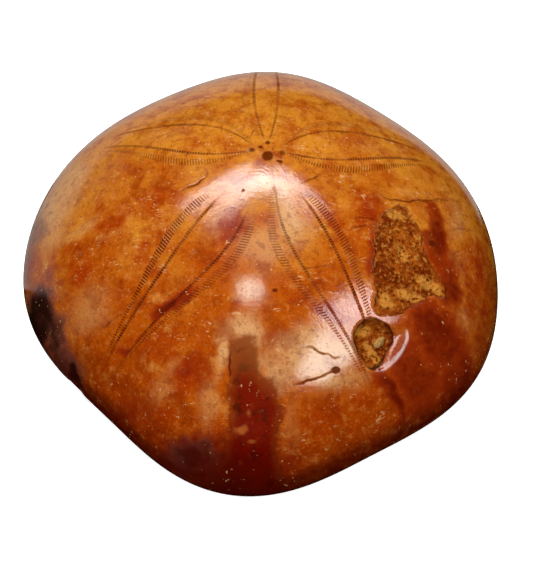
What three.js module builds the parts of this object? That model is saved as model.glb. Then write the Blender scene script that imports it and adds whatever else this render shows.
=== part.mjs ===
// A polished fossil sand dollar: one solid stone, domed above, with the animal's mouth and vent on a base
// whose high points are ground flat. Millimetres, +Z up. The origin is on the base, under the middle of the
// stone. The end with the vent points to -Y and the end that led when the animal crawled points to +Y.
import * as THREE from "three";

// Driving dimensions.
const MEAN_RADIUS = 45.3; // of the outline seen from above
const HEIGHT = 38; // base to apex
const RIM_HEIGHT = 8.6; // the widest level above the base
const APEX = { x: -0.3, y: 6.9 }; // from the outline's own centre
const MOUTH = { x: -0.2, y: 5.0 };

// The outline swells and pinches as it goes round: each wave is a share of the radius, and peakDeg is one
// of the bearings where it stands out furthest.
const OUTLINE_WAVES = [
  { count: 2, share: 0.009, peakDeg: -45 },
  { count: 3, share: 0.009, peakDeg: 30 },
  { count: 4, share: 0.0277, peakDeg: -3.1 },
  { count: 5, share: 0.0086, peakDeg: 43.1 },
  { count: 6, share: 0.0139, peakDeg: 26.5 },
];

// The dome's section is a superellipse: dome = (1 - w^DOME_SPREAD)^(1 / DOME_FULLNESS), w from apex to rim.
const DOME_SPREAD = 1.95;
const DOME_FULLNESS = 1.71;

// The base rolls under from the rim and then runs almost level: its section is a squarer superellipse.
const BASE_SPREAD = 4.5;
const GROUND_OFF = 0.8; // stone that grinding took off the high points of the base

// Bearings of the five feeding grooves on the base, which lie under the petals. They run to the mouth.
const GROOVE_BEARINGS_DEG = [92, 160, 237, 297, 20];
const GROOVE = { depth: 2.1, halfWidth: 4.2, startsAt: 7 };
const MOUTH_HOLLOW = { depth: 3.6, radius: 12 }; // the base dips in towards the mouth
const MOUTH_PIT = { depth: 3.2, radius: 4.4 };
const VENT_PIT = { x: -0.4, y: -35, depth: 2.0, halfWidth: 3.0, halfLength: 4.4 };

// Where the shell is worn through to its stone filling: a long pocket and a small one below it.
const WORN_POCKETS = [
  { x: 29.0, y: -6.0, halfWidth: 6.5, halfLength: 11.5, turnDeg: -12, depth: 0.9 },
  { x: 21.5, y: -22.5, halfWidth: 4.2, halfLength: 4.6, turnDeg: 20, depth: 1.0 },
];

// Mesh fineness.
const AROUND = 84;
const TOP_TO_BASE = 52;

const radians = THREE.MathUtils.degToRad;

// Outline radius at a bearing round the outline's own centre.
function outlineRadius(bearing) {
  let share = 1;
  for (const wave of OUTLINE_WAVES) {
    share += wave.share * Math.cos(wave.count * (bearing - radians(wave.peakDeg)));
  }
  return MEAN_RADIUS * share;
}

// A smooth dip that is 1 in its middle and fades out round an oval.
function ovalDip(x, y, oval) {
  const turn = radians(oval.turnDeg ?? 0);
  const dx = x - oval.x;
  const dy = y - oval.y;
  const across = (dx * Math.cos(turn) + dy * Math.sin(turn)) / oval.halfWidth;
  const along = (dy * Math.cos(turn) - dx * Math.sin(turn)) / oval.halfLength;
  return Math.exp(-((across ** 2 + along ** 2) ** 2));
}

// Height of the domed upper side, w of the way from the apex to the rim.
function domeHeight(w, x, y) {
  const dome = (1 - w ** DOME_SPREAD) ** (1 / DOME_FULLNESS);
  let z = RIM_HEIGHT + (HEIGHT - RIM_HEIGHT) * dome;
  for (const pocket of WORN_POCKETS) {
    z -= pocket.depth * ovalDip(x, y, pocket);
  }
  return z;
}

// How deep the feeding grooves cut at a point of the base. They fade out at the mouth and at the rim.
function grooveDepth(w, x, y) {
  const bearing = Math.atan2(y - MOUTH.y, x - MOUTH.x);
  const reach = Math.hypot(x - MOUTH.x, y - MOUTH.y);
  const fade = (1 - Math.exp(-((reach / GROOVE.startsAt) ** 2))) * (1 - w ** 6);
  let depth = 0;
  for (const degrees of GROOVE_BEARINGS_DEG) {
    const off = bearing - radians(degrees);
    if (Math.cos(off) <= 0) continue;
    const across = (reach * Math.sin(off)) / GROOVE.halfWidth;
    depth += GROOVE.depth * Math.exp(-(across ** 2)) * fade;
  }
  return depth;
}

// Height of the base, w of the way from the mouth to the rim. Its high points are cut off level at 0.
function baseHeight(w, x, y) {
  const roll = 1 - Math.sqrt(1 - w ** BASE_SPREAD);
  const reach = Math.hypot(x - MOUTH.x, y - MOUTH.y);
  const hollow = MOUTH_HOLLOW.depth * Math.exp(-((reach / MOUTH_HOLLOW.radius) ** 2));
  const pit = MOUTH_PIT.depth * Math.exp(-((reach / MOUTH_PIT.radius) ** 4));
  const vent = VENT_PIT.depth * ovalDip(x, y, VENT_PIT);
  const z = RIM_HEIGHT * roll + hollow + pit + vent + grooveDepth(w, x, y) - GROUND_OFF * (1 - w ** 8);
  return Math.max(0, z);
}

// Moves each point of a unit ball to the stone: the upper half to the dome and the lower half to the base.
function stoneGeometry() {
  const ball = new THREE.SphereGeometry(1, AROUND, TOP_TO_BASE).rotateX(Math.PI / 2);
  const points = ball.getAttribute("position");
  for (let i = 0; i < points.count; i++) {
    const up = points.getZ(i);
    const w = Math.min(1, Math.hypot(points.getX(i), points.getY(i)));
    const bearing = Math.atan2(points.getY(i), points.getX(i));
    const pole = up >= 0 ? APEX : MOUTH;
    const x = pole.x + w * (outlineRadius(bearing) * Math.cos(bearing) - pole.x);
    const y = pole.y + w * (outlineRadius(bearing) * Math.sin(bearing) - pole.y);
    points.setXYZ(i, x, y, up >= 0 ? domeHeight(w, x, y) : baseHeight(w, x, y));
  }
  ball.computeVertexNormals();
  return ball;
}

// Puts the middle of the outline's box over the origin.
function centredOverOrigin(geometry) {
  geometry.computeBoundingBox();
  const middle = geometry.boundingBox.getCenter(new THREE.Vector3());
  return geometry.translate(-middle.x, -middle.y, 0);
}

const polishedCalcite = new THREE.MeshStandardMaterial({ color: 0xb8651f, roughness: 0.25, metalness: 0 });

const sandDollar = new THREE.Mesh(centredOverOrigin(stoneGeometry()), polishedCalcite);
sandDollar.name = "sand_dollar";

const part = new THREE.Group();
part.add(sandDollar);

export default part;
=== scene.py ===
# %% [markdown]
# # A polished fossil sand dollar
# A sand dollar is a flat sea urchin. This one died in the Jurassic, its shell filled with sand and turned
# to calcite, and someone ground and polished it until the five petals of breathing pores shone. It is one
# solid stone, so the whole lesson is one surface and one finish: first the camera and the light, then the
# shape as formulas on a grid, then the marks that the stone carries, and last a material that reads those
# marks.

# %% Load the frame
import functools
import math

import bpy
import numpy as np
from mathutils import Matrix, Vector


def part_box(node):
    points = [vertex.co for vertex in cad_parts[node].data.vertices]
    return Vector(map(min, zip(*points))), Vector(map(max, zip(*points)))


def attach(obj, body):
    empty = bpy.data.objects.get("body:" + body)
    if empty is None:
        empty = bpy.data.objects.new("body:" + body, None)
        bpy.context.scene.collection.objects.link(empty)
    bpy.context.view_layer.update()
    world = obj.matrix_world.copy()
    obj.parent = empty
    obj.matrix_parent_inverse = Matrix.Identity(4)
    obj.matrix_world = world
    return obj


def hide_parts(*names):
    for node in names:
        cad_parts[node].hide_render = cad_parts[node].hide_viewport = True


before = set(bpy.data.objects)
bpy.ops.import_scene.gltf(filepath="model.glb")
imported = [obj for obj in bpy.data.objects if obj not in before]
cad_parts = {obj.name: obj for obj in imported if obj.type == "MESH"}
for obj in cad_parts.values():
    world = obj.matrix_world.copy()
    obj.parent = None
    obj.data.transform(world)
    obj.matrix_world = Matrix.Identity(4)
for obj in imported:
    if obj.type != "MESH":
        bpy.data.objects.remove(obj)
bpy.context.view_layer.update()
LOW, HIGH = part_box("sand_dollar")
MM = 0.001  # one millimetre in Blender's metres
print("CAD box in mm:", [round(v / MM, 2) for v in (*LOW, *HIGH)])

# %% [markdown]
# ## Camera
# The stone lies on a table and is looked down on from the end where its vent is. A long lens from a third
# of a metre keeps the perspective gentle. The camera leans 3 degrees to one side, the way a hand-held
# camera does. Its matrix is written out from three directions, which is the plainest way to say where
# right, up and back are.

# %% Camera
CAMERA_ELEVATION = math.radians(55)
CAMERA_LEAN = math.radians(3)
CAMERA_DISTANCE = 330 * MM
CAMERA_TARGET = Vector((1.17 * MM, -5.0 * MM, 14 * MM))

back = Vector((0, -math.cos(CAMERA_ELEVATION), math.sin(CAMERA_ELEVATION)))
level = Vector((1, 0, 0))
rise = back.cross(level)
right = level * math.cos(CAMERA_LEAN) + rise * math.sin(CAMERA_LEAN)
up = rise * math.cos(CAMERA_LEAN) - level * math.sin(CAMERA_LEAN)

camera = bpy.data.objects.new("camera", bpy.data.cameras.new("camera"))
camera.data.lens = 110.3
camera.data.sensor_width = 36
camera.data.clip_start = 0.01
facing = Matrix((right, up, back)).transposed().to_4x4()
camera.matrix_world = Matrix.Translation(CAMERA_TARGET + back * CAMERA_DISTANCE) @ facing
bpy.context.scene.collection.objects.link(camera)
bpy.context.scene.camera = camera
bpy.context.scene.view_settings.view_transform = "Standard"
print("camera at", [round(v / MM) for v in camera.location], "mm")


# %% [markdown]
# ## A helper for node trees
# Every node below is made with one function, `add`. The kinds are plain data: a node type and its settings.
# What follows the kind fills the node's inputs in order, so `add(tree, TIMES, noise, 0.5)` reads like the
# sum it is.

# %% Node helper and colours
PLUS = ("ShaderNodeMath", {"operation": "ADD"})
MINUS = ("ShaderNodeMath", {"operation": "SUBTRACT"})
TIMES = ("ShaderNodeMath", {"operation": "MULTIPLY"})
LARGER = ("ShaderNodeMath", {"operation": "MAXIMUM"})
UNSIGNED = ("ShaderNodeMath", {"operation": "ABSOLUTE"})
SINE = ("ShaderNodeMath", {"operation": "SINE"})
RAMP = ("ShaderNodeMapRange", {"interpolation_type": "SMOOTHSTEP"})  # value, low, high, first, last
STRAIGHT_RAMP = ("ShaderNodeMapRange", {})
MIX = ("ShaderNodeMix", {"data_type": "RGBA"})  # amount, colour at 0, colour at 1
NOISE = ("ShaderNodeTexNoise", {})  # place, scale, detail, roughness
CELLS = ("ShaderNodeTexVoronoi", {})
WHERE = ("ShaderNodeTexCoord", {})
SHIFT = ("ShaderNodeVectorMath", {"operation": "ADD"})
SCALE = ("ShaderNodeVectorMath", {"operation": "MULTIPLY"})
TURN = ("ShaderNodeMapping", {"vector_type": "POINT"})  # place, location, rotation, scale
SPLIT = ("ShaderNodeSeparateXYZ", {})
BUMP = ("ShaderNodeBump", {})


def feed(tree, socket, value):
    """Writes a value into a socket, or links an output to it. A node stands for its first live output."""
    if isinstance(value, bpy.types.Node):
        value = next(output for output in value.outputs if output.enabled)
    if isinstance(value, bpy.types.NodeSocket):
        tree.links.new(value, socket)
    else:
        socket.default_value = value


def add(tree, kind, *values, **named):
    """Adds a node of a kind and feeds its live inputs, first in order and then by name."""
    node_type, settings = kind
    node = tree.nodes.new(node_type)
    for name, value in settings.items():
        setattr(node, name, value)
    live = [socket for socket in node.inputs if socket.enabled]
    for socket, value in zip(live, values):
        feed(tree, socket, value)
    for name, value in named.items():
        feed(tree, node.inputs[name], value)
    return node


def srgb(hex_colour):
    """A linear RGBA colour from an sRGB hex value, by the standard's own two-part curve."""
    parts = [int(hex_colour[i : i + 2], 16) / 255 for i in (1, 3, 5)]
    linear = [p / 12.92 if p <= 0.04045 else ((p + 0.055) / 1.055) ** 2.4 for p in parts]
    return (*linear, 1)


# %% [markdown]
# ## Table and light
# A polished stone shows its lamps as much as itself, so the lamps come before the stone. Two jobs are kept
# apart, because Cycles lets a lamp be seen by matt rays only or by glossy rays only. Broad soft panels
# light the colour of the stone evenly and make no reflection. A second set makes only reflections: an arch
# of small lamps draws the curved crest in front of the apex, small windows give the patches further down, a
# faint wide one gives a veil, and white cards laid behind and to the left draw the pale far edge. Glossy
# rays don't see the table itself, as when dark cards are laid before a shiny thing, so the near edge stays
# deep and dark. The table is a sheet of white acrylic lit from below, which thins the shadow on it.

# %% Table
def light_table_material():
    """Matt white acrylic of a light table, which glows faintly from below."""
    material = bpy.data.materials.new("lit_white_acrylic")
    material.use_nodes = True
    shader = material.node_tree.nodes["Principled BSDF"]
    shader.inputs["Base Color"].default_value = srgb("#F6F6F5")
    shader.inputs["Roughness"].default_value = 0.9
    shader.inputs["Specular IOR Level"].default_value = 0.2
    shader.inputs["Emission Color"].default_value = srgb("#FFFFFF")
    shader.inputs["Emission Strength"].default_value = 0.75
    return material


TABLE_HALF = 3.0  # metres
TABLE_TOP = -0.05 * MM  # a hair under the stone, so that the two never lie in one plane
table_mesh = bpy.data.meshes.new("table")
table_corners = [(-TABLE_HALF, -TABLE_HALF, TABLE_TOP), (TABLE_HALF, -TABLE_HALF, TABLE_TOP)]
table_corners += [(TABLE_HALF, TABLE_HALF, TABLE_TOP), (-TABLE_HALF, TABLE_HALF, TABLE_TOP)]
table_mesh.from_pydata(table_corners, [], [(0, 1, 2, 3)])
table_mesh.materials.append(light_table_material())
table = bpy.data.objects.new("table", table_mesh)
table.visible_glossy = False
table.visible_diffuse = False
bpy.context.scene.collection.objects.link(table)

# %% Lights
FOCUS = Vector((0, 0, 20 * MM))


def lamp_of(name, radiance, size, seen_by, shape="RECTANGLE"):
    """A flat lamp of a given brightness. Its watts are radiance * pi * area, as for a matt glowing sheet."""
    lamp = bpy.data.lights.new(name, "AREA")
    lamp.shape = shape
    lamp.size, lamp.size_y = size
    area = size[0] * size[1] * (math.pi / 4 if shape == "ELLIPSE" else 1)
    lamp.energy = radiance * math.pi * area
    holder = bpy.data.objects.new(name, lamp)
    holder.visible_glossy = seen_by == "glossy"
    holder.visible_diffuse = seen_by == "matt"
    bpy.context.scene.collection.objects.link(holder)
    return holder


def aim(holder, sideways, behind, distance=0.9):
    """Hangs a lamp over the stone, leaning so many degrees to the right and behind, and faces it down."""
    away = Vector((math.tan(math.radians(sideways)), math.tan(math.radians(behind)), 1)).normalized()
    across = Vector((0, 1, 0)).cross(away).normalized()
    turn = Matrix((across, away.cross(across), away)).transposed().to_4x4()
    holder.matrix_world = Matrix.Translation(FOCUS + away * distance) @ turn


# %% Panels that light the colour
aim(lamp_of("overhead_panel", 6.6, (0.6, 0.6), "matt"), -6, 12)
aim(lamp_of("front_fill", 3.4, (0.5, 0.5), "matt"), 8, -58)

# %% Lamps that make the reflections
ARCH_LAMPS = 16
ARCH_START, ARCH_STEP = -25.5, 2.8  # degrees sideways of the first lamp, and from each to the next
ARCH_TOP, ARCH_BACK = -4, 29  # where the arch is highest: degrees sideways, and degrees behind
for number in range(ARCH_LAMPS):
    sideways = ARCH_START + ARCH_STEP * number
    off = sideways - ARCH_TOP
    drop = 10.5 * (-off / 21) ** 1.3 if off < 0 else 8 * (off / 19) ** 3
    bright = 10.4 - 0.22 * abs(off)
    lamp = lamp_of(f"arch_lamp_{number + 1}", bright, (0.085, 0.085), "glossy", "ELLIPSE")
    aim(lamp, sideways, ARCH_BACK - drop)

aim(lamp_of("veil_window", 0.24, (0.46, 0.36), "glossy", "ELLIPSE"), -4, 12)
aim(lamp_of("small_window", 7.6, (0.27, 0.10), "glossy", "ELLIPSE"), -4, -6)
aim(lamp_of("right_window", 7.5, (0.22, 0.34), "glossy"), 42, -29)
aim(lamp_of("upper_right_window", 9.0, (0.12, 0.10), "glossy"), 35, -13)


def card(name, radiance, low, high):
    """A white card that lies on the table between two corners, given in metres, and faces up."""
    holder = lamp_of(name, radiance, (high[0] - low[0], high[1] - low[1]), "glossy")
    holder.location = ((low[0] + high[0]) / 2, (low[1] + high[1]) / 2, 0.0003)
    holder.rotation_euler = (math.pi, 0, 0)


card("back_card", 0.42, (-0.05, 0.03), (0.058, 1.0))
card("left_card", 0.32, (-0.95, 0.0), (-0.05, 1.0))

world = bpy.data.worlds.new("studio_fill")
world.use_nodes = True
sky = world.node_tree.nodes["Background"]
sky.inputs["Color"].default_value = srgb("#FFFFFF")
direction = add(world.node_tree, WHERE).outputs["Generated"]
height = add(world.node_tree, SPLIT, direction).outputs["Z"]
fall = add(world.node_tree, STRAIGHT_RAMP, height, 0.0, 0.8, 0.0, 0.5)
feed(world.node_tree, sky.inputs["Strength"], fall)
world.cycles_visibility.glossy = False
bpy.context.scene.world = world

# %% [markdown]
# ## The stone as a surface of two parameters
# Seen from above the stone is a round outline with soft corners: a circle whose radius swells and pinches
# in a few waves. Its section is a superellipse, which is flatter on top and fuller at the shoulder than a
# true ellipse. A point of the surface is then found from two numbers: the bearing round the stone, and how
# far out it lies between the apex and the rim. Modelling it by formula rather than sculpting keeps it
# exactly on the frame, and every later mark can be placed in millimetres on the same plan.

# %% Driving dimensions, in millimetres
HEIGHT = HIGH.z / MM
RIM_HEIGHT = 8.6
APEX = (0.02, 7.56)
MOUTH = (0.12, 5.66)
OUTLINE_WAVES = [(2, 0.009, -45), (3, 0.009, 30), (4, 0.0277, -3.1), (5, 0.0086, 43.1), (6, 0.0139, 26.5)]
DOME_SPREAD, DOME_FULLNESS = 1.95, 1.71
BASE_SPREAD = 4.5
GROUND_OFF = 0.8

AROUND = 520  # points round each ring
DOME_RINGS = 142
BASE_RINGS = 48


def outline(bearing):
    """Plan of the rim. Radius = 1 + the sum of small cosine waves, scaled and centred on the frame's box."""
    dense = np.linspace(0, 2 * np.pi, 3600)

    def curve(angle):
        radius = np.ones_like(angle)
        for count, share, peak in OUTLINE_WAVES:
            radius += share * np.cos(count * (angle - np.radians(peak)))
        return np.stack([radius * np.cos(angle), radius * np.sin(angle)], -1)

    low, high = curve(dense).min(0), curve(dense).max(0)
    width = (HIGH.x - LOW.x) / MM
    centre = np.array([HIGH.x + LOW.x, HIGH.y + LOW.y]) / (2 * MM)
    return (curve(bearing) - (low + high) / 2) * width / (high[0] - low[0]) + centre


# %% Rings and bearings
bearings = np.linspace(0, 2 * np.pi, AROUND, endpoint=False)
rim_plan = outline(bearings)
dome_turn = np.linspace(0, np.pi / 2, DOME_RINGS + 1)[1:]
dome_out = np.sin(dome_turn)  # 0 at the apex, 1 at the rim
base_turn = np.linspace(np.pi / 2, 0, BASE_RINGS + 1)[1:-1]
base_out = np.sin(base_turn)


def plan_of(pole, out):
    """Points part of the way from a pole to the rim: pole + out * (rim - pole)."""
    return np.array(pole) + out[:, None, None] * (rim_plan[None] - np.array(pole))


dome_plan = plan_of(APEX, dome_out)
base_plan = plan_of(MOUTH, base_out)
print("rings:", dome_plan.shape[0], "dome,", base_plan.shape[0], "base, each of", AROUND)


# %% Soft steps, ovals and noise
def step(value, low, high):
    """Rises smoothly from 0 at low to 1 at high, as 3t^2 - 2t^3."""
    t = np.clip((value - low) / (high - low), 0, 1)
    return t * t * (3 - 2 * t)


def oval(x, y, spot, power=2.0):
    """A soft patch: exp(-(distance in oval radii)^power). spot is x, y, half length, half width, turn."""
    cx, cy, length, width, turn = spot[:5]
    c, s = math.cos(math.radians(turn)), math.sin(math.radians(turn))
    along = ((x - cx) * c + (y - cy) * s) / length
    across = ((y - cy) * c - (x - cx) * s) / width
    return np.exp(-((along**2 + across**2) ** (power / 2)))


def lattice_noise(x, y, z, size, seed):
    """Smooth noise from -1 to 1: random values on a cubic lattice of the given size, blended smoothly."""
    table = np.random.default_rng(seed).uniform(-1, 1, (32, 32, 32))
    cell = [v / size for v in (x, y, z)]
    low = [np.floor(v).astype(int) for v in cell]
    mix = [(v - f) ** 2 * (3 - 2 * (v - f)) for v, f in zip(cell, low)]
    total = 0
    for corner in range(8):
        bits = [(corner >> axis) & 1 for axis in range(3)]
        weight = 1
        for axis in range(3):
            weight = weight * (mix[axis] if bits[axis] else 1 - mix[axis])
        index = [(low[axis] + bits[axis]) % 32 for axis in range(3)]
        total = total + weight * table[index[0], index[1], index[2]]
    return total


def cloud(x, y, z, size, seed, octaves=3):
    """Fractal noise: each octave is half the size and half the strength of the one before."""
    return sum(lattice_noise(x, y, z, size / 2**k, seed + k) / 2**k for k in range(octaves))


# %% [markdown]
# ## Outlines and cracks as distances
# A worn patch or a crack has a sharp edge, finer than the mesh. If each point stores how far it is from
# that edge, in millimetres, the material can draw the edge as sharply as it likes, because a distance stays
# true between two points of the mesh where a mask would blur.

# %% Distances to drawn lines
def rounded(points, closed, passes=3):
    """Cuts the corners of a line of points, so that it runs as a soft curve (Chaikin's rule)."""
    line = np.array(points, float)
    for _ in range(passes):
        ends = np.roll(line, -1, 0) if closed else line[1:]
        starts = line if closed else line[:-1]
        cut = np.stack([starts * 0.75 + ends * 0.25, starts * 0.25 + ends * 0.75], 1).reshape(-1, 2)
        line = cut if closed else np.concatenate([line[:1], cut, line[-1:]])
    return line


def nearest_on(x, y, line):
    """For each point: distance to the line, which side it is on, and how far along the line, from 0 to 1."""
    best = np.full(x.shape, 1e9)
    side = np.ones(x.shape)
    along = np.zeros(x.shape)
    pieces = len(line) - 1
    for k in range(pieces):
        (ax, ay), (bx, by) = line[k], line[k + 1]
        dx, dy = bx - ax, by - ay
        t = np.clip(((x - ax) * dx + (y - ay) * dy) / (dx * dx + dy * dy + 1e-12), 0, 1)
        gap = np.hypot(x - ax - t * dx, y - ay - t * dy)
        closer = gap < best
        best = np.where(closer, gap, best)
        side = np.where(closer, np.sign((y - ay) * dx - (x - ax) * dy), side)
        along = np.where(closer, (k + t) / pieces, along)
    return best, side, along


def depth_inside(x, y, points):
    """Millimetres inside a closed outline, negative outside. The sign comes from counting edge crossings."""
    line = rounded(points, closed=True, passes=2)
    loop = np.vstack([line, line[:1]])
    gap, _, _ = nearest_on(x, y, loop)
    inside = np.zeros(x.shape, bool)
    for (ax, ay), (bx, by) in zip(loop[:-1], loop[1:]):
        crosses = (ay > y) != (by > y)
        inside ^= crosses & (x < (bx - ax) * (y - ay) / (by - ay + 1e-12) + ax)
    return np.where(inside, gap, -gap)


# %% [markdown]
# ## The five petals
# A living sand dollar breathed through rows of pores, laid out as five petals. Each petal has two bands,
# and each band has an inner row of round pores and an outer row of long slits. A petal's half-width is a
# curve that rises from nothing at the apex, swells, and dies away: (t e^(1-t))^k, where t is the distance
# along the petal over the distance to its widest point.

# %% Petal layout
# bearing, sideways bow and its length, then where the inner and outer rows are widest and how sharply they
# swell. Last come the clockwise and the anticlockwise side: half-widths of its inner and outer row, and how
# dark each of the two is.
PETALS = [
    (92.1, 0.2, 30, (19, 1.5), (16, 1.8), (2.35, 3.9, 0.75, 0.3), (2.35, 3.9, 0.75, 0.3)),
    (163.3, 0.0, 30, (14, 2.0), (14.7, 2.1), (3.7, 5.9, 0.85, 0.4), (3.7, 6.0, 0.85, 0.6)),
    (235.1, 2.1, 38, (20, 2.6), (20.5, 3.2), (3.5, 6.4, 1.0, 1.0), (4.1, 6.4, 0.9, 0.75)),
    (298.6, -1.0, 31, (20, 2.6), (20.5, 3.2), (3.6, 6.2, 0.75, 0.65), (3.5, 5.7, 1.0, 0.7)),
    (17.8, 0.0, 30, (14, 2.0), (14.7, 2.1), (3.7, 6.0, 0.85, 0.7), (3.7, 6.0, 0.85, 0.45)),
]
VENT_PETALS = (2, 3)  # these run on further towards the rim
ROWS_BEGIN = {2: (15.0, 14.0), 3: (8.0, 12.0)}  # mm from the apex: nearer, grinding has all but removed them


def swell(along, peak, sharpness):
    """How far a petal row has swelled, 0 to 1: (t e^(1-t))^k with t = along / peak."""
    t = np.clip(along / peak, 1e-6, None)
    return (t * np.exp(1 - t)) ** sharpness


def petal_marks(x, y):
    """Where each point lies in its nearest petal: across the inner row, across the outer row (both in row
    half-widths, 0 on the row), and how strongly the inner row and the outer row show."""
    dx, dy = x - APEX[0], y - APEX[1]
    closest = np.full(x.shape, -2.0)
    marks = [np.full(x.shape, 9.0), np.full(x.shape, 9.0), np.zeros(x.shape), np.zeros(x.shape)]
    for index, (bearing, bow, bow_length, inner, outer, clockwise, anticlockwise) in enumerate(PETALS):
        c, s = math.cos(math.radians(bearing)), math.sin(math.radians(bearing))
        along = dx * c + dy * s
        across = dy * c - dx * s - bow * np.sin(np.pi * np.clip(along, 0, 60) / bow_length)
        facing = along / (np.hypot(dx, dy) + 1e-9)
        reach = 46 if index in VENT_PETALS else 34
        left = step(across, -0.4, 0.4)
        side = [a * (1 - left) + b * left for a, b in zip(clockwise, anticlockwise)]
        inner_edge = side[0] * swell(along, *inner)
        outer_edge = side[1] * swell(along, *outer)
        half_in = 0.24 + 0.10 * step(along, 5, 20)
        half_out = 0.25 + 0.55 * step(along, 3, 13) * (1 - step(along, 0.55 * reach, 0.85 * reach))
        to_in = (np.abs(across) - inner_edge) / half_in
        to_out = (np.abs(across) - outer_edge) / half_out
        begin = ROWS_BEGIN.get(index, (0, 0))
        ground = step(along - begin[0] * (1 - left) - begin[1] * left, -2.5, 2.0)
        fade = step(along, 2.6, 4.5) * (0.12 + 0.88 * ground) * (1 - step(along, reach - 6, reach))
        nearer = facing > closest
        closest = np.where(nearer, facing, closest)
        new = (to_in, to_out, fade * side[2], fade * side[3])
        marks = [np.where(nearer, n, m) for n, m in zip(new, marks)]
    return marks


# %% [markdown]
# ## What has happened to this stone
# The rest of its character is damage and stain. All places below are plan millimetres from the middle of
# the stone, as if it were drawn from above on squared paper.

# %% Worn and broken places
WORN_PATCH = [(25.6, 2.2), (22.8, -0.2), (21.0, -4.2), (19.9, -8), (19.7, -11.5), (20.6, -15.5)]
WORN_PATCH += [(20.2, -19.9), (24.4, -20.0), (27.4, -17.6), (30.5, -14.6), (33.2, -13.6), (33.7, -11.4)]
WORN_PATCH += [(30.6, -9.2), (29.7, -5.5), (27.8, -1.2)]
POCKET = [(17.0, -24.7), (18.1, -22.4), (20.2, -21.1), (22.4, -21.4), (24.4, -22.7), (23.4, -25.0)]
POCKET += [(22.0, -27.4), (20.4, -28.7), (18.8, -27.5)]
POCKET_SLOPE = [(20.0, -21.2), (23.4, -21.6), (27.0, -20.9), (26.3, -24.2), (23.6, -27.6), (21.0, -29.2)]
POCKET_SLOPE += [(18.5, -27.6), (16.8, -24.8), (18.0, -22.3)]
FLAKE = [(20.9, -25.3), (21.6, -23.9), (23.3, -22.9), (23.0, -24.4), (21.9, -25.4)]
DARK_WEDGE = [(-4.7, -29.2), (-2.6, -27.9), (-0.9, -26.9), (-0.2, -28.4), (0.2, -31.6), (1.2, -33.7)]
DARK_WEDGE += [(3.6, -34.9), (5.2, -36.6), (5.2, -39.4), (4.5, -42.2), (6.5, -45.8), (9, -52), (-9, -52)]
DARK_WEDGE += [(-5.4, -44.5), (-4.3, -40.5), (-4.6, -36), (-4.5, -32)]

# Each crack: its strength, and the points that it runs through.
CRACKS = [
    (1.0, [(6.6, -34.2), (8.4, -33.4), (9.6, -32.7), (11.6, -31.9), (13.6, -30.6)]),
    (0.7, [(8.2, -27.9), (10.2, -28.1), (12.4, -28.5), (14.6, -28.3)]),
    (0.9, [(20.2, 2.7), (21.4, 1.9), (24.0, 2.1), (26.8, 2.9), (29.0, 4.4), (32.0, 6.4), (36.5, 9.2)]),
    (0.5, [(34.5, 0.4), (36.6, 2.5), (40.0, 4.8)]),
    (0.8, [(6.9, 1.5), (8.2, 2.5), (9.2, 3.0), (9.9, 3.9)]),
    (0.9, [(-15.3, -0.7), (-14.0, -0.1), (-13.0, 0.3), (-11.6, 1.3), (-10.7, 1.8), (-10.9, 3.7)]),
    (0.7, [(15.9, -6.4), (16.7, -5.6), (18.2, -5.3), (19.3, -4.7)]),
    (0.7, [(16.2, -4.4), (17.4, -3.8), (19.2, -3.4), (21.2, -3.8)]),
    (0.6, [(7.0, -14.7), (8.6, -14.9), (10.4, -14.3), (12.4, -14.1)]),
    (0.6, [(-24.9, -21.1), (-26.4, -21.6), (-27.6, -22.1)]),
    (0.6, [(33.4, -10.4), (36.2, -10.9), (40.8, -10.8)]),
    (1.0, [(-4.6, -29.6), (-4.5, -31.8), (-4.4, -34.6)]),
    (0.5, [(-1.9, -29.3), (-3.0, -29.9), (-3.9, -30.2)]),
    (0.4, [(-18.3, -7.8), (-18.4, -9.2), (-18.1, -10.8)]),
    (0.6, [(-3.2, 10.6), (-2.9, 12.4), (-2.2, 13.2)]),
    (0.5, [(11.3, 15.0), (11.2, 13.2), (11.5, 11.4)]),
]

# Pores and pits: x, y, half length, half width, turn, darkness. The first seven are the disc at the apex.
PITS = [
    (0.05, 9.8, 0.55, 0.5, 0, 0.75),
    (-1.2, 8.7, 0.42, 0.36, 0, 0.9),
    (1.1, 8.4, 0.3, 0.3, 0, 0.5),
    (-2.8, 7.9, 0.8, 0.75, 0, 0.55),
    (2.7, 7.6, 0.85, 0.85, 0, 0.5),
    (0.15, 6.7, 1.15, 1.3, 0, 0.75),
    (2.4, 5.6, 0.62, 0.4, -10, 0.8),
    (2.7, -19.7, 0.52, 0.34, 0, 1.0),
    (14.2, -30.3, 0.85, 0.5, 25, 1.0),
    (10.2, -28.0, 0.32, 0.26, 0, 0.8),
    (-3.9, -1.1, 0.5, 0.35, 30, 0.6),
    (7.2, 4.4, 0.3, 0.3, 0, 0.6),
    (31.1, -4.2, 0.8, 0.6, 30, 0.9),
]

# %% [markdown]
# Colour patches come next: iron stained the calcite red-brown along old cracks, manganese left violet-black
# along one edge, and some zones stayed pale. Each is a soft oval, and noise frays it later.

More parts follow.
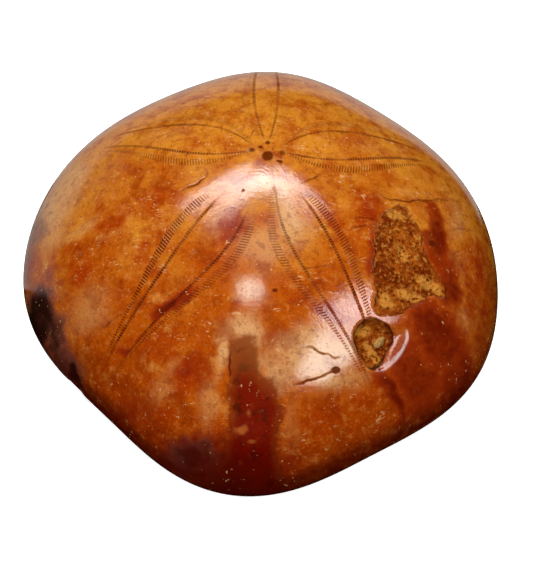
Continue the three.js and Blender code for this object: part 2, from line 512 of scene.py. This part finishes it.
# %% Stains
# x, y, half length, half width, turn, strength
RED_BROWN = [
    (-5.4, -7.6, 4.8, 3.0, 62, 0.55),
    (-17.0, -21.9, 2.3, 1.3, 35, 1.1),
    (-14.0, -20.6, 3.8, 1.5, 30, 0.75),
    (-11.6, -19.4, 1.2, 0.5, 10, 0.5),
    (-23.7, -26.4, 1.3, 0.9, -15, 0.8),
    (-12.2, -32.2, 2.2, 1.6, 0, 0.8),
    (12.2, -22.4, 3.2, 1.9, -10, 0.6),
    (31.9, -2.5, 2.4, 8.5, 8, 0.95),
    (34.2, -11.0, 2.6, 5.0, 15, 0.9),
    (19.4, -9.8, 1.5, 4.6, 0, 0.75),
    (20.0, -1.0, 1.6, 3.0, -20, 0.4),
    (32.5, -19.5, 7.5, 5.5, -30, 0.95),
    (28.5, -27.0, 5.5, 5.5, 0, 0.9),
    (37.5, -23.5, 5.5, 7.0, -25, 0.75),
    (24.5, -31.0, 3.6, 1.3, -39, 1.1),
    (40.5, -13.0, 3.5, 7.0, 10, 0.5),
    (41.5, -3.0, 2.2, 6.0, 0, 0.35),
    (-34.6, -24.0, 3.2, 1.6, -40, 0.8),
    (13.5, -5.5, 6.5, 1.2, -62, 0.15),
    (-3.5, -44.5, 9.0, 2.0, 0, 0.9),
    (-10.0, -43.8, 6.0, 1.8, -14, 1.3),
    (4.0, -45.0, 5.0, 1.6, 5, 0.8),
    (-25.0, -34.5, 6.0, 1.4, -38, 0.5),
    (0.0, 7.0, 4.5, 4.0, 0, 0.22),
]
VIOLET = [
    (-43.4, 2.2, 2.6, 5.6, 0, 0.55),
    (-41.2, -15.4, 6.4, 2.8, -56, 1.2),
    (-37.2, -19.4, 4.0, 2.4, -48, 0.9),
    (-36.0, -23.0, 3.4, 1.6, -45, 0.75),
    (-38.4, -12.5, 5.0, 2.6, -60, 0.3),
    (-9.0, -39.6, 1.6, 1.0, 0, 0.3),
    (-9.5, -44.0, 5.5, 1.6, -12, 1.0),
    (-34.2, -26.8, 2.8, 2.0, -45, 2.0),
]
PALE = [
    (24.5, -0.8, 1.6, 1.2, 0, 0.9),
    (25.3, -8.2, 1.2, 1.2, 0, 0.8),
    (31.0, -13.0, 2.6, 1.1, -30, 0.9),
    (27.2, -15.8, 2.0, 1.1, -10, 0.9),
    (23.0, -17.8, 1.9, 1.3, -30, 0.9),
    (19.2, -23.6, 1.5, 1.1, 0, 0.9),
    (21.4, -26.9, 1.3, 1.0, -40, 0.9),
    (-1.5, -38.5, 0.6, 0.8, 0, 0.7),
    (-2.0, -41.5, 0.8, 0.8, 0, 0.8),
    (-0.5, -43.3, 0.9, 0.5, 0, 0.7),
    (-2.2, -44.8, 0.7, 0.5, 0, 0.6),
    (-38.0, 8.0, 5.0, 9.0, 0, 1.2),
    (-38.5, -1.5, 3.0, 4.0, 0, 0.7),
    (-31.0, 9.0, 6.0, 8.0, 0, 0.35),
    (-34.0, -3.0, 4.0, 1.6, 10, 0.6),
    (-30.0, -18.5, 5.0, 3.2, -25, 0.55),
    (-27.0, -7.0, 3.0, 1.2, 0, 0.25),
    (-6.4, -30.0, 1.3, 4.2, 5, 0.85),
    (3.6, -31.2, 3.0, 3.0, 0, 0.45),
    (15.0, -32.0, 7.0, 1.6, 25, 0.75),
    (7.0, -39.0, 1.6, 4.5, 0, 0.4),
    (-7.9, -37.4, 2.8, 4.4, 0, 0.65),
    (-17.0, -34.0, 4.6, 2.8, 30, 0.45),
    (36.0, 3.5, 2.4, 5.5, 0, 0.5),
    (36.6, -6.0, 1.6, 3.5, 0, 0.4),
    (37.2, -15.0, 2.2, 3.0, 0, 0.45),
    (-20.5, 14.0, 6.0, 3.0, -15, 0.3),
    (-13.0, 3.0, 4.0, 2.0, 20, 0.3),
    (20.0, 14.0, 8.0, 5.0, 0, 0.15),
]
# Milky cream zones: partly the calcite's own cloudiness, partly painted sheen that spreads the highlights
# and the veil.
MILKY_AND_SHEEN = [
    (-1.5, -0.6, 6.5, 2.2, 0, 0.5),
    (-2.4, -25.9, 4.2, 3.0, 0, 0.9),
    (-5.9, -29.5, 1.1, 3.4, 3, 0.7),
    (1.0, -29.8, 1.0, 3.6, -12, 0.5),
    (-6.0, -5.0, 6.5, 3.6, 50, 0.45),
    (5.0, -5.5, 2.8, 6.0, 15, 0.9),
    (0.5, -12.0, 6.5, 5.0, 0, 0.5),
    (-1.5, -20.0, 4.0, 2.6, 0, 0.6),
    (11.0, -28.5, 7.5, 4.6, 15, 1.0),
    (4.0, -32.5, 3.6, 3.0, 10, 0.6),
    (25.0, -24.2, 3.4, 1.2, 60, 0.6),
    (-41.5, 6.0, 2.2, 8.0, -10, 0.5),
]
DEEP_ORANGE = [
    (-33.2, -12.4, 3.4, 2.6, -20, 0.8),
    (-34.6, -7.2, 3.2, 1.8, -10, 0.7),
    (-27.8, -4.0, 3.6, 1.2, 10, 0.7),
    (-19.5, -1.5, 5.5, 3.4, 20, 0.75),
    (-21.8, -12.4, 1.6, 4.2, 0, 0.55),
    (-18.0, -6.0, 4.0, 5.0, 0, 0.3),
    (-11.6, -33.0, 4.2, 3.0, 10, 1.1),
    (-15.5, -37.5, 3.5, 2.0, -30, 0.9),
    (-18.5, -26.5, 6.0, 2.6, -10, 0.55),
    (-22.0, -31.0, 6.0, 4.0, -30, 0.5),
    (-20.5, -37.0, 9.0, 3.0, -38, 1.1),
    (17.6, 0.2, 3.4, 3.0, 0, 0.6),
    (19.0, -4.0, 3.0, 2.4, 0, 0.5),
    (13.0, -5.0, 2.0, 7.0, 28, 0.6),
    (11.5, -17.0, 3.0, 2.4, -30, 0.5),
    (13.0, -37.5, 6.5, 3.4, 20, 0.75),
    (20.0, -33.0, 5.0, 2.6, 25, 0.6),
    (39.0, -3.5, 3.0, 7.0, 0, 0.65),
    (30.0, 3.0, 3.0, 3.0, 0, 0.5),
    (38.0, -24.0, 6.0, 5.0, 0, 0.5),
    (6.5, -20.5, 3.0, 2.0, 0, 0.35),
    (-33.0, 20.0, 3.0, 2.0, 0, 0.2),
]


def painted(x, y, z, spots, seed):
    """Strongest of a list of soft ovals at each point, on a plan shaken by noise so that edges fray."""
    shaken_x = x + 1.3 * cloud(x, y, z, 5.0, seed)
    shaken_y = y + 1.3 * cloud(x, y, z, 5.0, seed + 10)
    total = np.zeros(x.shape)
    for spot in spots:
        total = np.maximum(total, spot[5] * oval(shaken_x, shaken_y, spot, power=3.0))
    return total


# %% [markdown]
# ## The upper side
# Now the formulas are put to work. The plain dome comes first. Relief is then added along the surface's own
# normal, so a hollow on the steep shoulder is as deep as one near the apex. Grinding has left the rows of
# pores flush with the surface, so they have no relief of their own and are drawn by the finish.

# %% Relief helpers
def normals_of(points):
    """Unit normals of a ring grid, from the cross product of its two neighbour differences."""
    around = np.roll(points, -1, 1) - np.roll(points, 1, 1)
    outward = np.gradient(points, axis=0)
    cross = np.cross(outward, around)
    return cross / (np.linalg.norm(cross, axis=-1, keepdims=True) + 1e-12)


def plain_dome(out):
    """Height of the dome: rim + (height - rim) * (1 - out^spread)^(1 / fullness)."""
    return RIM_HEIGHT + (HEIGHT - RIM_HEIGHT) * (1 - out**DOME_SPREAD).clip(0) ** (1 / DOME_FULLNESS)


out_grid = np.repeat(dome_out[:, None], AROUND, 1)
dome_x, dome_y = dome_plan[..., 0], dome_plan[..., 1]
dome_z = plain_dome(out_grid)
dome = np.stack([dome_x, dome_y, dome_z], -1)
dome_normal = normals_of(dome)

# Arc length from the apex, which spaces the pores evenly down the slope.
steps = np.linalg.norm(np.diff(dome, axis=0, prepend=[[[*APEX, HEIGHT]] * AROUND]), axis=-1)
dome_arc = steps.cumsum(0)

to_in, to_out, show_in, show_out = petal_marks(dome_x, dome_y)
print("arc from apex to rim:", dome_arc[-1].min().round(1), "to", dome_arc[-1].max().round(1), "mm")


# %% Cracks and pits as fields
def crack_field(x, y, z):
    """Signed distance to the nearest crack, in mm, and how strongly that crack shows there."""
    jag_x = x + 0.34 * cloud(x, y, z, 1.4, 70)
    jag_y = y + 0.34 * cloud(x, y, z, 1.4, 80)
    distance, strength = np.full(x.shape, 5.0), np.zeros(x.shape)
    for force, points in CRACKS:
        gap, side, along = nearest_on(jag_x, jag_y, rounded(points, closed=False, passes=2))
        here = force * (1 - step(gap, 0.6, 1.6)) * (0.35 + 0.65 * np.sin(np.pi * along.clip(0.02, 0.98)))
        stronger = here > strength
        distance = np.where(stronger, gap * side, distance)
        strength = np.where(stronger, here, strength)
    return distance, strength


def pit_field(x, y):
    """Darkness of the nearest pore or pit, from a crisp oval."""
    total = np.zeros(x.shape)
    for pit in PITS:
        total = np.maximum(total, pit[5] * oval(x, y, pit, power=4.0))
    return total


front = step(-dome_y + 0.15 * np.abs(dome_x), 16, 38)  # 1 on the near side, 0 behind the middle
crack_gap, crack_show = crack_field(dome_x, dome_y, dome_z)
pits = pit_field(dome_x, dome_y)
frayed_x = dome_x + 0.45 * cloud(*dome.transpose(2, 0, 1), 2.4, 30)
frayed_y = dome_y + 0.45 * cloud(*dome.transpose(2, 0, 1), 2.4, 40)
worn = depth_inside(frayed_x, frayed_y, WORN_PATCH)
pocket = depth_inside(dome_x + 0.3 * (frayed_x - dome_x), dome_y + 0.3 * (frayed_y - dome_y), POCKET)
slope = depth_inside(dome_x, dome_y, POCKET_SLOPE)
flake = depth_inside(dome_x, dome_y, FLAKE)
wedge = depth_inside(dome_x + 1.3 * (frayed_x - dome_x), dome_y + 1.3 * (frayed_y - dome_y), DARK_WEDGE)


# %% Relief of the upper side
def notch(x, y):
    """A chip out of the rim, at the near left: a soft oval 1.1 mm deep."""
    return 1.1 * oval(x, y, (-35.4, -27.6, 2.3, 3.0, -52), power=3.0)


def dome_relief():
    """Millimetres in or out along the normal: ripples, chipped rim, worn stone, pocket, flake and cracks."""
    x, y, z = dome.transpose(2, 0, 1)
    relief = 0.012 * cloud(x, y, z, 9.0, 5)
    relief -= notch(x, y)
    relief += 0.10 * front * step(out_grid, 0.8, 0.97) * cloud(x, y, z, 4.0, 15)
    grain = 0.55 * cloud(x, y, z, 2.2, 50) + 0.25 * cloud(x, y, z, 0.9, 55, 2)
    relief += step(worn, -0.1, 0.7) * (-0.55 + grain * 0.8)
    relief -= 0.5 * step(slope, -0.5, 1.6) + step(pocket, -0.15, 0.35) * (0.8 - 0.5 * grain)
    relief += 0.7 * step(flake, -0.1, 0.25)
    relief -= 0.015 * crack_show * np.exp(-((crack_gap / 0.3) ** 2))
    return relief


dome_points = dome + dome_normal * dome_relief()[..., None]
dome_points[-1] = dome[-1]
print("relief:", dome_relief().min().round(2), "to", dome_relief().max().round(2), "mm")

# %% [markdown]
# ## The base
# The underside is hidden when the stone rests, but anyone who picks it up turns it over. It dips towards
# the mouth in the middle, five feeding grooves run out under the petals, a vent opens near the back edge,
# and grinding has left five level cushions, on which it stands. Round the mouth the grooves are pinched
# between five swellings.

# %% Base formulas
GROOVE_BEARINGS = (92, 160, 237, 297, 20)
GROOVE_DEPTH, GROOVE_HALF, GROOVE_START = 2.1, 4.2, 7.0
VENT = (-0.08, -34.34, 4.4, 3.0, 90)


def base_height(out, x, y):
    """Rim roll + hollow + mouth + vent + grooves - stock ground off, and never below the table."""
    dx, dy = x - MOUTH[0], y - MOUTH[1]
    reach, bearing = np.hypot(dx, dy), np.arctan2(dy, dx)
    z = RIM_HEIGHT * (1 - np.sqrt((1 - out**BASE_SPREAD).clip(0)))
    z = z + 3.6 * np.exp(-((reach / 12) ** 2)) + 3.2 * np.exp(-((reach / 4.4) ** 4))
    z = z + 2.0 * oval(x, y, VENT, power=4.0)
    fade = (1 - np.exp(-((reach / GROOVE_START) ** 2))) * (1 - out**6)
    for degrees in GROOVE_BEARINGS:
        off = bearing - math.radians(degrees)
        facing = np.cos(off) > 0
        z = z + facing * GROOVE_DEPTH * np.exp(-((reach * np.sin(off) / GROOVE_HALF) ** 2)) * fade
        lobe = off - math.radians(36)
        ring = np.exp(-(((reach - 6.6) / 1.9) ** 2)) * np.exp(-((reach * np.sin(lobe) / 2.1) ** 2))
        z = z - 0.8 * ring * (np.cos(lobe) > 0)
    return (z - GROUND_OFF * (1 - out**8)).clip(0)


base_x, base_y = base_plan[..., 0], base_plan[..., 1]
base_grid = np.repeat(base_out[:, None], AROUND, 1)
inward = notch(base_x, base_y) / np.hypot(base_x, base_y)
base_height_grid = base_height(base_grid, base_x, base_y)
base_points = np.stack([base_x * (1 - inward), base_y * (1 - inward), base_height_grid], -1)
mouth_z = float(base_height(np.zeros(1), np.array([MOUTH[0]]), np.array([MOUTH[1]]))[0])
print("mouth is", round(mouth_z, 1), "mm up inside the base")

# %% [markdown]
# ## From grids to one closed mesh
# The two grids share the rim ring, and one point closes each pole, so the mesh has no seam and no hole.
# Faces are listed anticlockwise seen from outside.

# %% Build the mesh
rings = np.concatenate([dome_points, base_points])
ring_count = len(rings)
points = np.concatenate([[[*APEX, HEIGHT]], rings.reshape(-1, 3), [[*MOUTH, mouth_z]]])


def ring_faces():
    """Quads between neighbouring rings, and triangles from each pole to its nearest ring."""
    here = np.arange(AROUND)
    after = (here + 1) % AROUND
    starts = 1 + AROUND * np.arange(ring_count - 1)[:, None]
    quads = np.stack([starts + here, starts + AROUND + here, starts + AROUND + after, starts + after], -1)
    last = 1 + AROUND * (ring_count - 1)
    top = np.stack([np.zeros(AROUND, int), 1 + here, 1 + after], -1)
    bottom = np.stack([last + after, last + here, np.full(AROUND, len(points) - 1)], -1)
    return top.tolist() + quads.reshape(-1, 4).tolist() + bottom.tolist()


mesh = bpy.data.meshes.new("sand_dollar_stone")
mesh.from_pydata((points * MM).tolist(), [], ring_faces())
mesh.polygons.foreach_set("use_smooth", np.ones(len(mesh.polygons), bool))
stone = bpy.data.objects.new("sand_dollar_stone", mesh)
bpy.context.scene.collection.objects.link(stone)
print("stone:", len(mesh.vertices), "points,", sum(len(p.vertices) - 2 for p in mesh.polygons), "triangles")


# %% [markdown]
# ## Marks carried as attributes
# Each field worked out above is stored on the mesh under a plain name, three to a vector. The base has its
# own values where it needs them and neutral ones elsewhere.

# %% Store the marks
def on_all(dome_values, base_values):
    """One value per mesh point: the apex takes its first ring's mean, and the mouth its last ring's."""
    base_values = np.broadcast_to(base_values, base_x.shape)
    middle = np.concatenate([dome_values, base_values]).ravel()
    return np.concatenate([[dome_values[0].mean()], middle, [base_values[-1].mean()]])


def store(name, *fields):
    """Writes three fields into the mesh as one vector attribute."""
    attribute = mesh.attributes.new(name, "FLOAT_VECTOR", "POINT")
    attribute.data.foreach_set("vector", np.stack(fields, -1).astype(np.float32).ravel())


base_z = base_points[..., 2]
under_rim = 1 - step(base_grid, 0.90, 1.0)
# Milky zones, partly painted sheen round the highlights.
milky_and_sheen = painted(dome_x, dome_y, dome_z, MILKY_AND_SHEEN, 220)
red = painted(dome_x, dome_y, dome_z, RED_BROWN, 100)
violet = painted(dome_x, dome_y, dome_z, VIOLET, 130)
pale = painted(dome_x, dome_y, dome_z, PALE, 160)
deep = painted(dome_x, dome_y, dome_z, DEEP_ORANGE, 190)
# The outer ring of the near side is painted darker orange too: painted shade.
deep = np.maximum(deep, 0.6 * front * step(out_grid, 0.72, 1.0))
# A dark band along the near rim, widest in its middle: partly a dark stain, partly painted shade.
lowest = np.exp(-(((dome_x + 5) / 12) ** 2))
near_rim_stain_and_shade = front * np.maximum(0.8 * step(out_grid, 0.965, 1.0), lowest * step(out_grid, 0.87, 0.985))

mouth_reach = np.hypot(base_x - MOUTH[0], base_y - MOUTH[1])
mouth_fill = 4.2 - mouth_reach
vent_fill = 3.2 * (oval(base_x, base_y, VENT, power=2.0) - 0.42)
base_red = painted(base_x, base_y, base_z, RED_BROWN, 100) * (1 - under_rim) + 0.35 * under_rim
base_violet = painted(base_x, base_y, base_z, VIOLET, 130) * (1 - under_rim)

store("petal_rows", on_all(to_in, 9.0), on_all(to_out, 9.0), on_all(dome_arc, 0.0))
store("petal_show", on_all(show_in, 0.0), on_all(show_out, 0.0), on_all(milky_and_sheen, 0.0))
store("stains", on_all(red, base_red), on_all(violet, base_violet), on_all(pale, 0.0))
# The near rim's dark stain and painted shade carry on just under the rim.
base_rim_stain_and_shade = near_rim_stain_and_shade[-1:] * (1 - under_rim)
base_wedge = wedge[-1:] - 12 * under_rim  # fades out where the rim turns under
store("tones", on_all(deep, 0.3), on_all(near_rim_stain_and_shade, base_rim_stain_and_shade), on_all(wedge, base_wedge))
filling = np.maximum(mouth_fill, vent_fill)
store("worn", on_all(worn, filling), on_all(pocket, -9.0), on_all(flake, -9.0))
store("marks", on_all(crack_gap, 5.0), on_all(crack_show, 0.0), on_all(pits, 0.0))
print("attributes:", [a.name for a in mesh.attributes if a.data_type == "FLOAT_VECTOR"])

# %% [markdown]
# ## A map for the finish
# Anything that paints this stone in another program needs a flat map of it. The dome and the base each
# become a disc, like the two halves of an old world map.

# %% Flat map
DOME_DISC, BASE_DISC = 0.37, 0.20  # radii, side by side on the diagonal of a unit square


def flat_map():
    """Two polar discs: radius is the share of rings passed, angle is the bearing."""
    share = np.concatenate([[0], np.repeat(np.arange(1, ring_count + 1), AROUND), [ring_count + 1]])
    turn = np.concatenate([[0], np.tile(bearings, ring_count), [0]])
    spin = np.stack([np.cos(turn), np.sin(turn)], -1)
    on_dome = 0.01 + DOME_DISC + spin * (DOME_DISC * share / DOME_RINGS)[:, None]
    on_base = 0.99 - BASE_DISC + spin * (BASE_DISC * (ring_count + 1 - share) / BASE_RINGS)[:, None]
    corners = np.zeros(len(mesh.loops), int)
    mesh.loops.foreach_get("vertex_index", corners)
    sizes = np.array([len(p.vertices) for p in mesh.polygons])
    dome_faces = AROUND * DOME_RINGS
    is_dome = np.repeat(np.arange(len(sizes)) < dome_faces, sizes)
    return np.where(is_dome[:, None], on_dome[corners], on_base[corners])


flat = mesh.uv_layers.new(name="OFBake")
flat.data.foreach_set("uv", flat_map().astype(np.float32).ravel())
print("map:", len(flat.data), "corners")

# %% [markdown]
# ## Polished, iron-stained calcite
# The shell plates and their filling are calcite, a soft clear mineral that takes a waxy polish. Iron turned
# it honey, orange and red-brown in clouds a few millimetres to a centimetre across. Where the polish broke
# through, the bare filling is sand grains in a yellow-brown cement: rough and matt. One shader serves both:
# its colour, roughness and bump change over from one to the other at the edge of the worn patch. Object
# coordinates, in millimetres, drive all the noise, so a grain has its true size everywhere.


# %% Small pieces of the finish
class Finish:
    """The node tree of one material, with the steps that its recipe is made of."""

    def __init__(self, tree):
        self.put = functools.partial(add, tree)
        self.place = self.put(SCALE, self.put(WHERE).outputs["Object"], (1 / MM,) * 3)
        self.blotch = self.mottle(4, 5, 20)
        self.fine = self.mottle(1.6, 5, 40)
        centred = self.put(MINUS, self.put(TIMES, self.put(PLUS, self.blotch, self.fine), 0.5), 0.5)
        self.fray = self.put(TIMES, centred, 1.3)

    def mark(self, name):
        """The three numbers that the mesh stores under a name."""
        carried = self.put(("ShaderNodeAttribute", {"attribute_name": name}))
        return self.put(SPLIT, carried.outputs["Vector"]).outputs

    def mottle(self, size, detail, shift=0.0):
        """Fractal clouds, 0 to 1, whose largest patches are about size mm. shift tells them apart."""
        return self.put(NOISE, self.put(SHIFT, self.place, (shift,) * 3), 1 / size, detail, 0.6)

    def streaks(self, length, width, turn, seed):
        """Thin lines: where clouds drawn out along one direction pass through their middle value."""
        stretch = (1 / length, 1 / width, 1 / width)
        turned = self.put(TURN, self.place, (seed,) * 3, (0, 0, math.radians(turn)), stretch)
        from_middle = self.put(UNSIGNED, self.put(MINUS, self.put(NOISE, turned, 1.0, 1.0), 0.5))
        return self.put(RAMP, from_middle, 0.016, 0.004)

    def specks(self, spacing, radius, share):
        """Round specks of a given radius in a share of the cells of a scatter with a given spacing."""
        cells = self.put(CELLS, self.place, 1 / spacing)
        dot = self.put(RAMP, cells.outputs["Distance"], radius / spacing, 0.5 * radius / spacing)
        chosen = self.put(RAMP, self.put(SPLIT, cells.outputs["Color"]), share, share * 0.8)
        return self.put(TIMES, dot, chosen)

    def stain(self, mark, low, high):
        """A mark whose edge is frayed by the blotches."""
        fray_here = self.put(TIMES, self.fray, self.put(RAMP, mark, 0.02, 0.2))
        return self.put(RAMP, self.put(PLUS, mark, fray_here), low, high)

    def layer(self, under, amount, strength, over):
        """Lays a colour over another, by an amount times a strength."""
        return self.put(MIX, self.put(TIMES, amount, strength), under, srgb(over))


# %% The recipe
SLIT_PITCH = 0.52  # mm, drawn a little coarser than the real 0.40 mm


def calcite_material():
    """Polished iron-stained calcite with bare sandy filling in its worn places."""
    material = bpy.data.materials.new("polished_iron_stained_calcite")
    material.use_nodes = True
    tree = material.node_tree
    shader = tree.nodes["Principled BSDF"]
    f = Finish(tree)
    put, stain, layer, mottle = f.put, f.stain, f.layer, f.mottle
    blotch, fine, fray = f.blotch, f.fine, f.fray

    across_in, across_out, arc = f.mark("petal_rows")
    in_shows, out_shows, milky_and_sheen_mark = f.mark("petal_show")
    red_mark, violet_mark, pale_mark = f.mark("stains")
    deep_orange_and_shade_mark, rim_stain_and_shade_mark, wedge_depth = f.mark("tones")
    worn_depth, pocket_depth, flake_depth = f.mark("worn")
    gap, crack_mark, pit_mark = f.mark("marks")

    # Honey ground: clouds a centimetre across, blotches of 4 mm on them, and flecks of 1 mm on those.
    broad = mottle(11, 4)
    grain = mottle(0.5, 3, 80)

    # The stone is yellower towards the back and redder towards the near side.
    north = put(SPLIT, f.place).outputs["Y"]
    back = put(RAMP, put(PLUS, north, put(TIMES, put(MINUS, broad, 0.5), 110)), -28, 26)
    colour = put(MIX, back, srgb("#B04E04"), srgb("#CC7E22"))
    colour = layer(colour, put(RAMP, blotch, 0.42, 0.68), 0.75, "#A33E02")
    colour = layer(colour, put(RAMP, mottle(3.0, 4, 60), 0.55, 0.70), 0.5, "#D08A3C")
    colour = layer(colour, stain(pale_mark, 0.0, 1.1), 0.85, "#D09454")
    # Deep orange patches, and painted shade along the outer ring of the near side.
    colour = layer(colour, stain(deep_orange_and_shade_mark, 0.05, 0.9), 0.9, "#A03200")
    # Milky cream, partly painted sheen round the highlights and the veil.
    colour = layer(colour, stain(milky_and_sheen_mark, 0.0, 0.95), 0.85, "#D09C66")
    colour = layer(colour, put(RAMP, fine, 0.5, 0.68), 0.5, "#8A3002")
    colour = layer(colour, put(RAMP, fine, 0.44, 0.32), 0.2, "#DA9A4E")
    colour = layer(colour, put(RAMP, grain, 0.53, 0.72), 0.5, "#6E2402")
    colour = layer(colour, put(RAMP, grain, 0.43, 0.3), 0.2, "#DCA058")
    lines = put(LARGER, f.streaks(40, 1.3, 35, 3), f.streaks(40, 1.5, -55, 9))
    lines = put(TIMES, lines, put(RAMP, mottle(2.2, 3, 130), 0.58, 0.66))
    colour = layer(colour, lines, 0.55, "#E0AC70")

    # Dark red-brown mottling that grows towards the near side, then iron and manganese stains.
    near_side_mottle = put(TIMES, put(RAMP, mottle(6.5, 5, 260), 0.50, 0.62), put(RAMP, back, 0.75, 0.2))
    colour = layer(colour, near_side_mottle, 0.45, "#7E2204")
    colour = layer(colour, stain(red_mark, 0.0, 0.65), 0.85, "#8C2606")
    colour = layer(colour, stain(red_mark, 0.5, 1.15), 0.8, "#560C02")
    colour = layer(colour, stain(violet_mark, 0.0, 0.9), 0.8, "#7E4838")
    colour = layer(colour, stain(violet_mark, 0.35, 1.2), 0.95, "#1C0806")
    in_wedge = put(RAMP, put(PLUS, wedge_depth, put(TIMES, fray, 3.5)), -0.9, 0.7)
    wedge_colour = put(MIX, put(RAMP, wedge_depth, 0.3, 2.4), srgb("#7A2806"), srgb("#6A0400"))
    wedge_colour = layer(wedge_colour, put(RAMP, mottle(3.2, 4, 120), 0.5, 0.66), 0.75, "#2C0502")
    wedge_colour = layer(wedge_colour, put(RAMP, fine, 0.56, 0.72), 0.45, "#94330A")
    wedge_colour = layer(wedge_colour, stain(pale_mark, 0.2, 0.9), 0.8, "#B45A1C")
    wedge_colour = layer(wedge_colour, put(RAMP, north, -35.5, -29.5), 0.6, "#8E4C1E")
    colour = put(MIX, put(TIMES, in_wedge, 0.94), colour, wedge_colour)
    # Dark red-brown along the near rim: partly stain, partly painted shade.
    colour = layer(colour, stain(rim_stain_and_shade_mark, 0.0, 1.0), 0.88, "#4E0A02")

    # Petals: dark pores in the inner row and slits in the outer one. At their real pitch the slits would
    # merge to grey, so they are drawn coarser.
    beat = put(SINE, put(TIMES, arc, 2 * math.pi / SLIT_PITCH))
    in_row = put(RAMP, put(UNSIGNED, across_in), 1.15, 0.6)
    out_row = put(RAMP, put(UNSIGNED, across_out), 1.1, 0.8)
    in_dark = put(TIMES, put(TIMES, in_row, in_shows), put(RAMP, beat, -0.5, 0.4, 0.5, 1.0))
    out_dark = put(TIMES, put(TIMES, out_row, out_shows), put(RAMP, beat, -0.2, 0.4, 0.06, 1.0))
    pores = put(TIMES, put(LARGER, in_dark, out_dark), put(RAMP, mottle(5, 3, 280), 0.38, 0.56, 0.65, 1.0))
    colour = layer(colour, pores, 0.96, "#451206")

    # Cracks, pits, dark specks and pale chips. Specks come in swarms, so slow clouds thin them elsewhere.
    line = put(TIMES, put(RAMP, put(UNSIGNED, gap), 0.34, 0.08), crack_mark)
    line = put(TIMES, line, put(RAMP, fine, 0.35, 0.5, 0.65, 1.0))
    pit_dark = put(RAMP, pit_mark, 0.15, 0.6)
    swarm = put(RAMP, mottle(7, 2, 150), 0.4, 0.6, 0.25, 1.0)
    pepper = put(TIMES, f.specks(1.1, 0.17, 0.4), swarm)
    holes = put(LARGER, put(LARGER, line, pit_dark), put(TIMES, pepper, 0.75))
    dust = put(RAMP, mottle(6, 2, 170), 0.45, 0.6, 0.0, 1.0)
    chips = put(PLUS, mottle(0.8, 2, 190), put(TIMES, dust, 0.05))
    chips = put(RAMP, chips, 0.71, 0.77)
    colour = layer(colour, chips, 0.6, "#DFAE74")
    colour = layer(colour, holes, 0.9, "#541804")

    # Bare sandy filling: grains of half a millimetre in 3 mm lumps, with the pale marks as pale lumps.
    sand_grain = mottle(0.7, 4, 200)
    sand_lump = mottle(3.2, 4, 240)
    sand = put(MIX, put(RAMP, sand_lump, 0.4, 0.6), srgb("#7A2C08"), srgb("#A04C10"))
    pale_lump = put(TIMES, stain(pale_mark, 0.05, 0.7), put(RAMP, sand_grain, 0.34, 0.5))
    sand = layer(sand, pale_lump, 0.92, "#CE8634")
    sand = layer(sand, put(RAMP, sand_grain, 0.53, 0.64), 0.5, "#D89A42")
    sand = layer(sand, put(RAMP, sand_grain, 0.45, 0.35), 0.75, "#3E1200")
    bare = put(RAMP, put(PLUS, worn_depth, put(TIMES, fray, 3.0)), -0.3, 0.3)
    in_pocket = put(RAMP, put(PLUS, pocket_depth, put(TIMES, fray, 0.8)), -0.4, -0.15)
    pocket_rim = put(RAMP, put(UNSIGNED, put(PLUS, pocket_depth, 0.2)), 0.35, 0.05)
    bare_all = put(LARGER, bare, in_pocket)
    colour = put(MIX, bare_all, colour, sand)
    colour = layer(colour, put(RAMP, flake_depth, -0.05, 0.1), 1.0, "#B98A4E")
    colour = layer(colour, put(TIMES, pocket_rim, put(RAMP, blotch, 0.35, 0.6)), 0.85, "#35100A")

    # A ground and buffed polish. The pores and the sand have none, and throw back no clear reflection.
    rough = put(RAMP, blotch, 0.3, 0.7, 0.075, 0.11)
    open_stone = put(LARGER, pores, holes)
    rough = put(RAMP, open_stone, 0, 1, rough, 0.6)
    rough = put(RAMP, bare_all, 0, 1, rough, 0.95)
    dull = put(LARGER, open_stone, put(TIMES, bare_all, 0.8))

    # Height in millimetres: pores and pits cut in, grains of sand stand out, polish keeps a faint grain.
    cut = put(TIMES, open_stone, -0.012)
    skin = put(PLUS, put(TIMES, grain, 0.018), put(TIMES, fine, 0.010))
    sandy = put(TIMES, put(TIMES, sand_grain, bare_all), 0.9)
    height = put(PLUS, put(PLUS, cut, skin), sandy)
    bump = put(BUMP, Height=height, Distance=MM, Strength=1.0)

    feed(tree, shader.inputs["Base Color"], colour)
    feed(tree, shader.inputs["Roughness"], rough)
    feed(tree, shader.inputs["Specular IOR Level"], put(RAMP, dull, 0.0, 0.55, 0.5, 0.0))
    feed(tree, shader.inputs["Normal"], bump)
    shader.inputs["IOR"].default_value = 1.58
    return material


mesh.materials.append(calcite_material())
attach(stone, "root")
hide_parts("sand_dollar")
print("material:", mesh.materials[0].name, "with", len(mesh.materials[0].node_tree.nodes), "nodes")
